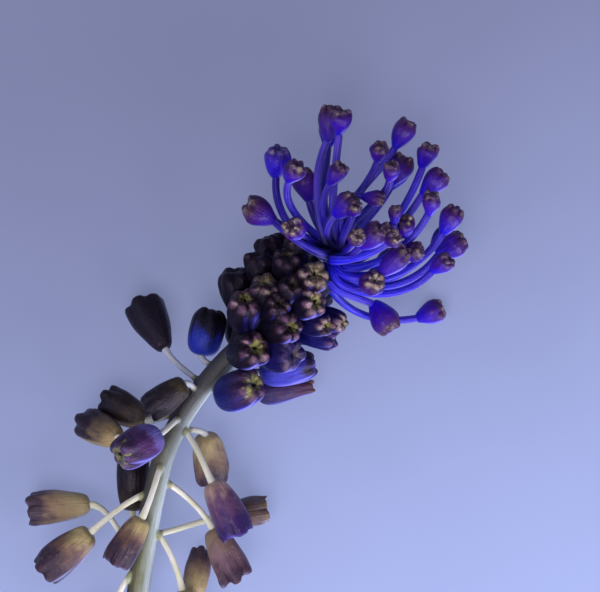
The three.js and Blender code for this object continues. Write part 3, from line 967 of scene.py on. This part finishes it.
# Florets from the head down: where the stalk leaves the stem (y), where the floret begins (x, y, z), the
# way it points (heading, rise), its size and girth, its kind, its look and how it widens to its mouth.
floretRows = [
    (-11.6, -9.0, -13.5, 6.3, 9, 0, 1.1, 0.88, "shut", "violet", 0),
    (-12.4, -9.3, -16.2, 3.2, 7, 0, 1.1, 0.68, "drawn", "rose", 0),
    (-13.0, -16.1, -11.5, 5.2, 79, -4, 0.92, 1.06, "shut", "blueFooted", 0),
    (-13.8, -13.7, -16.5, 8.2, 22, 42, 1.0, 1.1, "shut", "indigo", 0),
    (-15.1, -20.6, -10.7, 4.9, 118, -26, 0.92, 1.24, "open", "night", 0.9),
    (-16.0, -17.9, -14.8, 9.4, 214, -4, 0.76, 1.12, "notched", "umber", 0),
    (-18.5, -22.9, -19.4, 5.0, 156, -26, 0.84, 1.16, "notched", "tawny", 0.25),
    (-18.9, -21.2, -21.0, 11.0, 206, 39, 1.03, 1.0, "shut", "plum", 0),
    (-20.3, -15.6, -21.2, 6.0, 279, -24, 0.87, 1.12, "open", "tan", 0),
    (-21.0, -26.3, -21.4, 8.4, 157, -48, 0.88, 1.1, "notched", "amber", 0.2),
    (-19.8, -14.7, -26.8, 9.3, 297, 0, 0.95, 1.06, "open", "mauve", 0.2),
    (-24.5, -23.2, -31.1, 10.2, 240, -3, 0.86, 1.0, "open", "ochre", 0.1),
    (-26.6, -14.7, -32.7, 6.2, 296, 0, 0.93, 1.08, "notched", "russet", 0.25),
    (-28.4, -29.6, -33.0, 7.2, 220, -8, 1.02, 1.0, "open", "ochre", 0.15),
    (-32.6, -18.4, -40.2, 6.8, 282, 0, 0.95, 1.0, "open", "ochre", 0),
    (-33.4, -14.2, -31.6, 2.4, 10, 0, 0.84, 1.0, "open", "brown", 0.1),
    (-33.8, -24.8, -30.7, 2.5, 89, 0, 0.93, 1.0, "open", "umber", 0),
    (-36.5, -30.0, -29.9, 3.2, 184, -2, 1.0, 0.96, "open", "dusky", 0.2),
    (-37.4, -27.5, -43.0, 6.6, 236, -5, 1.0, 1.0, "open", "tan", 0.1),
    (-44.0, -17.2, -40.9, 4.6, 80, -26, 0.78, 1.08, "open", "tan", -0.25),
    (-46.5, -16.5, -53.0, 3.0, 300, 0, 1.0, 1.0, "notched", "russet", 0.15),
    (-47.5, -24.2, -54.0, 9.2, 262, 0, 0.95, 1.0, "open", "ochre", 0.1),
    (-49.5, -31.5, -54.5, 3.0, 232, 0, 1.02, 1.0, "open", "tan", 0.2),
    (-54.5, -20.0, -61.5, 3.2, 285, 0, 1.0, 1.0, "open", "ochre", 0.05),
    (-57.5, -33.0, -64.0, 2.8, 238, 0, 1.0, 1.0, "notched", "ochre", 0.15),
    (-61.0, -24.4, -68.8, 6.0, 277, 0, 0.95, 1.0, "open", "tan", 0),
]

fertileFloret = {
    "detail": 2,
    "shutUneven": 0.6,
    "shutShown": 3,  # how much of the lobes' and star's colour shows on those that are shut
    "antherLength": 0.9,
    "antherWidth": 0.32,
    "antherRing": 0.78,
    "antherDepth": 0.76,  # as a share of the length
}


# An anther for each lobe stands in the mouth of an open floret.
def makeAnthers(base, forward, length, radius):
    turned = forward.to_track_quat("Z", "Y").to_matrix()
    wide, long = fertileFloret["antherWidth"], fertileFloret["antherLength"]
    ring = fertileFloret["antherRing"] * radius / floretKinds["open"]["radius"]
    parts = []
    for number in range(lobes):
        angle = (number + 0.5) * 2 * pi / lobes
        offset = Vector((cos(angle) * ring, sin(angle) * ring, fertileFloret["antherDepth"] * length))
        deselectAll()
        bpy.ops.mesh.primitive_ico_sphere_add(
            subdivisions=2, radius=0.5, location=base + turned @ offset, rotation=turned.to_euler()
        )
        bpy.context.object.scale = (wide, wide, long)
        bpy.ops.object.transform_apply(location=True, rotation=True, scale=True)
        parts.append(bpy.context.object)
    return joinAll(parts)


def makeFlorets():
    for number, row in enumerate(floretRows, 1):
        _, x, y, z, heading, rise, size, girth, kindName, look, flare = row
        kind = floretKinds[kindName]
        base, forward = Vector((x, y, z)), direction(heading, rise)
        length = kind["length"] * size
        radius = kind["radius"] * size * girth / (1 + max(flare, 0) * growth["flareTakes"])
        gapes = kindName in ("open", "notched")
        uneven = 1 if gapes else fertileFloret["shutUneven"]
        body = growFloret(kindName, base, forward, length, radius, fertileFloret["detail"], uneven, flare)
        noteLook(body, 1 if gapes else fertileFloret["shutShown"])
        body.data.materials.append(petals[look])
        if gapes:
            inside = makeAnthers(base, forward, length, radius)
            inside.data.materials.append(antherSkin)
            body = joinAll([body, inside])
        slot = "floret" if gapes else "bud"
        finishPiece(f"floret{number:02d}", body, slot, f"floret_{number:02d}")
    print("florets made:", len(floretRows))


makeFlorets()

# Stalks of the fertile florets: swollen where they leave the stem, and a little under the floret.
floretStalk = {
    "radius": 0.4,
    "sides": 12,
    "leaves": 0.24,
    "arrives": 0.3,
    "reachIn": 0.12,
    "swell": [1.9, 1.7, 1.35, 1.12, 1.02, 1, 1, 0.98, 0.97, 0.97, 0.98, 1, 1.02, 1.05, 1.12, 1.25, 1.3],
}


def stalkPath(row):
    rootY, x, y, z, heading, rise = row[:6]
    root, forward = stemPoint(rootY), direction(heading, rise)
    end = Vector((x, y, z)) + forward * floretStalk["reachIn"]
    reach = (end - root).length
    line = (stemPoint(rootY + 0.5) - stemPoint(rootY - 0.5)).normalized()
    outward = end - root
    outward = (outward - line * outward.dot(line)).normalized()
    leaving = root + outward * reach * floretStalk["leaves"]
    arriving = end - forward * reach * floretStalk["arrives"]
    return drawPath([root, end], [leaving, arriving])


# Notes on each point of the stem: its place round and along, whether it is on a stalk, and how far
# it faces the side that is painted with light.
def noteStem(piece):
    points = np.zeros(len(piece.data.vertices) * 3)
    piece.data.vertices.foreach_get("co", points)
    points = points.reshape(-1, 3)
    heights = np.linspace(-stem["length"], 0, stem["samples"])
    line = np.array([stemPoint(y) for y in heights])
    radii = np.array([stemRadius(y) for y in heights])
    begins, fades = stem["stalkFrom"]
    skin, onStalk = np.zeros_like(points), np.zeros(len(points))
    step = 4000  # points measured at a time
    for start in range(0, len(points), step):
        part = points[start:start + step]
        away = np.linalg.norm(part[:, None] - line[None], axis=2)
        near = away.argmin(1)
        offset = part - line[near]
        around = np.arctan2(offset[:, 2], offset[:, 0])
        skin[start:start + step] = np.stack([np.cos(around), np.sin(around), heights[near] / 10], 1)
        beyond = away[np.arange(len(part)), near] / radii[near]
        onStalk[start:start + step] = np.clip((beyond - begins) / fades, 0, 1)
    notePlaces(piece, "skin", skin)
    noteValues(piece, "onStalk", onStalk)
    noteValues(piece, "facingPaintedLight", facingWay(piece, litWays["facingPaintedLight"]))


def makeStem():
    span = stem["length"] + stem["topEnd"]
    ys = [-stem["length"] + span * ring / (stem["rings"] - 1) for ring in range(stem["rings"])]
    shaft = makeTube("shaft", stem["sides"], [stemRadius(y) for y in ys])
    lastKnot = stem["pathPoints"] - 1
    knots = [stemPoint(-stem["length"] + span * knot / lastKnot) for knot in range(stem["pathPoints"])]
    parts = [bendAlong(shaft, drawPath(knots))]
    radii = [share * floretStalk["radius"] for share in floretStalk["swell"]]
    template = makeTube("stalkTemplate", floretStalk["sides"], radii)
    for row in floretRows:
        parts.append(bendAlong(copyOf(template), stalkPath(row)))
    pick(template)
    bpy.ops.object.delete()
    piece = joinAll(parts)
    applyModifier(piece, "REMESH", mode="VOXEL", voxel_size=stem["grain"], adaptivity=0)
    applyModifier(piece, "SMOOTH", factor=0.5, iterations=stem["smoothings"])
    for name in ("skin", "ridge"):
        if name in piece.data.attributes:
            piece.data.attributes.remove(piece.data.attributes[name])
    noteStem(piece)
    piece.data.materials.clear()
    piece.data.materials.append(stemSkin)
    finishPiece("stemAndStalks", piece, "stem", "stem")
    print("stem made:", len(piece.data.polygons), "faces")


makeStem()

# The crowded head: buds that stand out of a slim core all round, and lean a little to the tassel.
budHead = {
    "lowerEnd": -12.2,
    "baseReach": 2.9,
    "length": 5.8,
    "radii": (2.3, 1.8),
    "headLength": 18,
    "lean": 30,
    "coreRadii": (3.2, 2.5),
    "coreEnds": (-10.8, -0.7),
    "coreFoot": 0.4,
    "coreSides": 24,
    "coreRings": 12,
    "uneven": 1.3,
    "fineFrom": 0.2,  # buds that show more of their star than this are finer
    "shownBelow": 0.4,
    # How far each tip lies along the head from its lower end, and how far to the side; its size; how
    # much of its star shows, how creamy it is, and its tone.
    "above": [
        (4.6, 1.3, 1.06, 1.9, 0, 0.1), (7.7, -3.8, 1.04, 1.8, 0, 0.2), (7.3, 5.3, 1.15, 0.3, 0.1, -0.25),
        (8.7, -7.3, 1.12, 0, 0, 0.1), (9.5, 2.5, 1.0, 1.8, 0, 0.1), (12.0, 7.4, 0.85, 1.0, 0, -0.3),
        (11.0, -3.5, 1.0, 1.0, 0.5, 0.1), (10.5, -0.6, 0.85, 0.4, 0, 0.1), (12.4, -6.7, 1.0, 0.3, 0, 0),
        (13.8, 2.3, 1.05, 2.2, 0.2, -0.08), (12.7, 5.5, 0.8, 1.8, 0.4, -0.2),
        (14.3, 6.6, 0.8, 1.8, 0.4, -0.2), (15.0, -4.2, 1.0, 0.4, 0, 0), (16.0, -0.3, 1.06, 1.8, 0.8, 0.2),
        (14.6, -7.6, 1.05, 0.3, 0, 0.2), (17.0, -5.2, 0.85, 0.2, 0, 0), (13.2, -1.2, 0.9, 0.2, 0, 0),
    ],
    "below": [
        (5.4, -2.4, 1.0), (8.2, 1.4, 1.0), (9.0, -5.6, 1.0), (11.0, 5.6, 0.9), (11.6, -1.6, 1.0),
        (12.8, -4.6, 1.0), (14.3, 2.6, 1.0), (15.4, -7.0, 1.0), (16.0, -1.6, 0.95),
    ],
}


def makeBud(alongStem, across, size, side, detail):
    head = budHead
    lower = stemPoint(head["lowerEnd"])
    line = (stemPoint(0) - lower).normalized()
    lean = radians(head["lean"])
    reach = head["baseReach"] + head["length"]
    root = stemPoint(lower.y + (alongStem - sin(lean) * reach) * line.y)
    sideways = line.cross(Vector((0, 0, 1))).normalized()
    upright = sideways.cross(line) * side
    turn = asin(min(max(across / (reach * cos(lean)), -1), 1))
    outward = sideways * sin(turn) + upright * cos(turn)
    forward = outward * cos(lean) + line * sin(lean)
    share = alongStem / head["headLength"]
    radius = size * (head["radii"][0] + (head["radii"][1] - head["radii"][0]) * share)
    base = root + forward * head["baseReach"]
    return growFloret("bud", base, forward, head["length"], radius, detail, head["uneven"])


def makeCore():
    low, high = budHead["coreEnds"]
    first, last = budHead["coreRadii"]
    foot, rings = budHead["coreFoot"], budHead["coreRings"]
    ys = [low + (high - low) * ring / rings for ring in range(rings + 1)]
    radii = []
    for ring in range(rings + 1):
        swelling = foot + (1 - foot) * smooth(ring / rings, 0, 0.2)
        radii.append((first + (last - first) * ring / rings) * swelling)
    core = bendAlong(makeTube("core", budHead["coreSides"], radii), drawPath([stemPoint(y) for y in ys]))
    noteLook(core, 0)
    core.data.materials.append(petals["night"])
    return core


def makeBudHead():
    parts = [makeCore()]
    for along, across, size, shown, creamy, tone in budHead["above"]:
        bud = makeBud(along, across, size, 1, 2 if shown > budHead["fineFrom"] else 1)
        noteLook(bud, shown, creamy, tone)
        bud.data.materials.append(petals["bud"])
        parts.append(bud)
    for along, across, size in budHead["below"]:
        bud = makeBud(along, across, size, -1, 1)
        noteLook(bud, budHead["shownBelow"])
        bud.data.materials.append(petals["bud"])
        parts.append(bud)
    finishPiece("budHead", joinAll(parts), "bud", "bud_head")
    print("bud head made:", len(parts) - 1, "buds")


makeBudHead()

# The tassel: long stalks from the stem's violet tip, each with a sterile floret.
tassel = {
    "tip": {"below": 0.9, "length": 3.6, "radius": 1.0, "taper": 0.7, "heading": 45, "rise": 8,
            "sides": 20, "rings": 8},
    "stalkRadius": 0.48,
    "rootRadius": 0.68,
    "rootEnds": 0.45,  # share of a stalk's length by which it has narrowed from its root
    "stalkSides": 14,
    "stalkRings": 22,
    "spreadAt": 0.42,
    "settleAt": 0.36,
    "widest": 118,
    "roots": (0.3, 0.92),
    "droop": 0.25,
    "sink": 0.35,
    "uneven": 1.9,
    "bigUneven": 0.85,
    "bigFrom": 3.4,  # length from which a floret is big
    "creamyFrom": 0.8,
    # tones of the stalks by row, paler below 0 and darker above, and of the rest; the darker rows 0 and 1 are
    # painted shade, the paler arcs partly painted light
    "tonesWithPaintedLightAndShade": {0: 0.6, 1: 0.62, 2: -0.3, 4: -0.7, 5: -0.6, 8: -0.2, 11: -0.2, 12: -0.2, 18: -0.2},
    "otherTone": 0.5,
    "starShown": 0.85,
    # the middle of the painted shade in the hollow between the stalks
    "heart": (0.0105, 0.0382, 0.0120),  # the dark hollow between the stalks, in metres
}

# Where each sterile floret begins (x, y, z), the way it points (heading, rise), its length and radius,
# its tone (bluer below 0, redder above) and how creamy its tips are.
sterileRows = [
    (-7.0, 4.8, 12.4, 150, 8, 4.2, 1.75, 0.9, 0.25),
    (-6.9, 10.2, 10.4, 86, 24, 3.9, 1.74, -0.7, 0.5),
    (-5.4, 9.5, 13.6, 64, 42, 3.2, 1.35, -0.1, 0.25),
    (-2.9, 7.4, 8.2, 103, 0, 4.0, 1.6, 0.6, 0.1),
    (-0.7, 14.5, 9.0, 86, 0, 4.6, 1.4, 0.75, 0.4),
    (0.7, 15.2, 11.2, 85, 16, 3.3, 1.48, 0.2, 0.6),
    (-0.5, 9.2, 14.2, 58, 22, 3.0, 1.15, 0.3, 0.25),
    (5.3, 12.0, 12.2, 79, 40, 2.7, 1.2, 0.2, 0.3),
    (7.5, 13.8, 9.0, 62, 5, 3.9, 1.4, 0.3, 0.2),
    (6.9, 9.4, 8.2, 60, 0, 4.1, 1.65, 0.4, 0.15),
    (6.8, 9.7, 13.2, 84, 38, 2.7, 1.05, 0.4, 0.3),
    (10.9, 11.5, 8.4, 73, 12, 3.1, 1.3, 0.2, 0.3),
    (10.7, 8.1, 10.6, 46, 4, 3.9, 1.45, 0.1, 0.2),
    (11.5, 5.7, 12.4, 80, 28, 2.8, 1.1, 0.2, 0.3),
    (13.3, 3.5, 8.6, 60, 8, 3.7, 1.45, 0.2, 0.3),
    (12.7, 0.9, 6.6, 29, 0, 4.0, 1.65, 0.3, 0.2),
    (11.9, -1.2, 10.2, 37, 18, 3.0, 1.25, 0.0, 0.25),
    (10.4, -7.0, 1.7, 22, 0, 3.7, 1.6, 0.1, 0.25),
    (4.8, -4.9, 5.6, -54, 0, 4.4, 1.85, 0.1, 0.3),
    (4.0, -3.4, 11.8, 48, 62, 3.5, 1.6, 0.5, 0.9),
    (5.4, -1.7, 13.4, 42, 12, 4.8, 1.42, 0.5, 0.1),
    (8.7, 0.5, 11.0, 27, 40, 2.8, 1.25, 0.6, 0.35),
    (3.2, 1.7, 15.6, 42, 26, 3.8, 1.5, 0.4, 0.15),
    (2.4, 2.3, 17.2, 60, 72, 2.8, 1.15, 0.6, 0.4),
    (0.0, 5.4, 15.0, 43, 18, 3.6, 1.5, 0.2, 0.2),
    (3.2, 7.9, 13.8, -10, 10, 2.9, 1.05, 0.4, 0.2),
    (7.3, 4.4, 13.6, 87, 22, 2.4, 0.85, 0.2, 0.25),
    (8.7, 3.1, 11.6, 96, 38, 2.7, 1.25, 0.4, 0.3),
    (5.6, 3.1, 15.4, 55, 62, 2.4, 0.9, 0.3, 0.35),
    (6.4, 2.2, 15.8, 30, 58, 2.6, 1.1, 0.5, 0.25),
    (-4.0, 3.3, 14.4, 140, 62, 3.1, 1.45, 0.0, 1.0),
    (2.2, 5.4, 16.6, 70, 55, 2.4, 0.95, 0.2, 0.25),
    (5.2, -0.8, 3.6, 36, -6, 3.6, 1.35, 0.0, 0.15),
    (-7.0, 4.9, 8.8, 148, -4, 3.6, 1.4, 0.2, 0.15),
    (-0.6, 14.2, 4.4, 86, -8, 3.6, 1.35, 0.1, 0.15),
    (7.0, 9.0, 3.4, 63, -6, 3.6, 1.45, 0.2, 0.15),
    (12.4, 1.8, 2.6, 42, -4, 3.4, 1.45, 0.2, 0.15),
]

# Stalks that leave the tip in an arc of their own: by row, the root and the two handles of the curve.
stalkArcs = {
    0: ((-0.4, 0.9, 11.6), (-2.4, 0.7, 15.0), (-4.9, 2.7, 15.4)),
    1: ((-0.2, 0.3, 11.0), (-3.6, 1.6, 14.8), (-7.6, 5.6, 12.6)),
    4: ((-0.6, 1.6, 10.0), (-1.9, 5.4, 11.0), (-2.9, 10.2, 9.5)),
    5: ((0.0, 1.6, 10.6), (-0.4, 6.0, 11.6), (0.2, 11.0, 11.4)),
    11: ((0.2, 0.4, 9.6), (2.0, -1.4, 9.0), (8.2, 3.6, 7.8)),
    12: ((0.2, 0.4, 10.2), (2.2, -1.6, 11.0), (7.6, 2.8, 10.4)),
    13: ((0.0, 0.2, 10.6), (1.8, -2.4, 12.4), (9.2, 0.6, 11.4)),
    14: ((-0.2, 0.1, 9.6), (1.2, -3.4, 9.6), (9.6, -3.4, 8.0)),
    15: ((-0.3, 0.0, 9.0), (1.0, -4.2, 8.4), (9.4, -4.4, 6.4)),
    16: ((-0.4, 0.0, 10.0), (0.8, -4.9, 11.4), (8.8, -5.2, 9.8)),
    17: ((-0.6, -0.4, 8.4), (-1.6, -3.6, 8.0), (3.0, -8.4, 3.6)),
    18: ((-0.8, 0.0, 9.6), (-1.7, -3.9, 10.4), (2.4, -3.9, 8.6)),
    19: ((-0.2, 0.4, 10.6), (-0.6, -2.8, 12.6), (2.0, -3.6, 10.4)),
    20: ((-0.1, 0.2, 11.0), (0.6, -2.2, 13.6), (3.4, -2.6, 13.2)),
    21: ((-0.1, 0.3, 10.4), (1.0, -2.9, 12.0), (7.0, -1.8, 10.6)),
    27: ((-0.6, 0.5, 11.4), (1.8, 0.0, 14.4), (6.4, 2.4, 12.4)),
    29: ((-0.4, 0.3, 12.6), (2.2, -0.2, 14.8), (5.0, 1.0, 16.0)),
    32: ((-0.8, 0.0, 8.0), (-1.8, -4.2, 7.4), (1.8, -4.6, 4.0)),
    36: ((-0.5, 0.0, 8.4), (0.2, -4.6, 6.8), (7.0, -4.0, 3.2)),
}


def stalkCurve(number, row):
    x, y, z, heading, rise = row[:5]
    tipLine = direction(tassel["tip"]["heading"], tassel["tip"]["rise"])
    forward, end, foot = direction(heading, rise), Vector((x, y, z)), stemPoint(0)
    sunk = end + forward * tassel["sink"]
    if number in stalkArcs:
        root, leaving, arriving = (Vector(place) for place in stalkArcs[number])
        return drawPath([root, sunk], [leaving, arriving])
    lean = (end - foot).angle(tipLine) * 180 / pi
    lowest, highest = tassel["roots"]
    share = min(max(1 - lean / tassel["widest"], lowest), highest)
    root = foot + tipLine * tassel["tip"]["length"] * share
    spread = end - root
    reach = spread.length
    turnedBack = tassel["droop"] * reach * (lean / tassel["widest"]) ** 2
    spread = (spread - tipLine * (spread.dot(tipLine) + turnedBack)).normalized()
    leaving = root + spread * reach * tassel["spreadAt"]
    arriving = end - forward * reach * tassel["settleAt"]
    return drawPath([root, sunk], [leaving, arriving])


def makeTip():
    tip = tassel["tip"]
    line, foot, rings = direction(tip["heading"], tip["rise"]), stemPoint(0), tip["rings"]
    radii = [tip["radius"] * sqrt(1 - tip["taper"] * ring / rings) for ring in range(rings + 1)]
    ends = [foot - line * tip["below"], foot + line * tip["length"]]
    handles = [ends[0].lerp(ends[1], 0.3), ends[0].lerp(ends[1], 0.7)]
    piece = bendAlong(makeTube("tip", tip["sides"], radii), drawPath(ends, handles))
    note(piece, "tone", 0)
    return piece


def makeTasselStalks():
    parts = [makeTip()]
    thick, thin, rings = tassel["rootRadius"], tassel["stalkRadius"], tassel["stalkRings"]
    shares = [smooth(ring / (rings - 1), 0, tassel["rootEnds"]) for ring in range(rings)]
    radii = [thick + (thin - thick) * share for share in shares]
    template = makeTube("blueStalkTemplate", tassel["stalkSides"], radii)
    for number, row in enumerate(sterileRows):
        stalk = bendAlong(copyOf(template), stalkCurve(number, row))
        other = 0 if number in stalkArcs else tassel["otherTone"]
        note(stalk, "tone", tassel["tonesWithPaintedLightAndShade"].get(number, other))
        parts.append(stalk)
    pick(template)
    bpy.ops.object.delete()
    stalks = joinAll(parts)
    applyModifier(stalks, "SUBSURF", levels=1, render_levels=1)
    stalks.data.materials.clear()
    stalks.data.materials.append(makeBlueStalkMaterial())
    finishPiece("tasselStalks", stalks, "tassel", "tassel")
    print("tassel made:", len(sterileRows), "stalks")


def makeSterileFlorets():
    florets = []
    for x, y, z, heading, rise, length, radius, tone, creamy in sterileRows:
        ragged = length < tassel["bigFrom"] or creamy > tassel["creamyFrom"]
        uneven = tassel["uneven"] if ragged else tassel["bigUneven"]
        way = direction(heading, rise)
        floret = growFloret("sterile", Vector((x, y, z)), way, length, radius, 1, uneven)
        noteLook(floret, tassel["starShown"], creamy, tone)
        floret.data.materials.append(petals["sterile"])
        florets.append(floret)
    finishPiece("sterileFlorets", joinAll(florets), "tassel")
    print("sterile florets made:", len(florets))


makeTasselStalks()
makeSterileFlorets()

for template in templates.values():
    bpy.data.objects.remove(template)
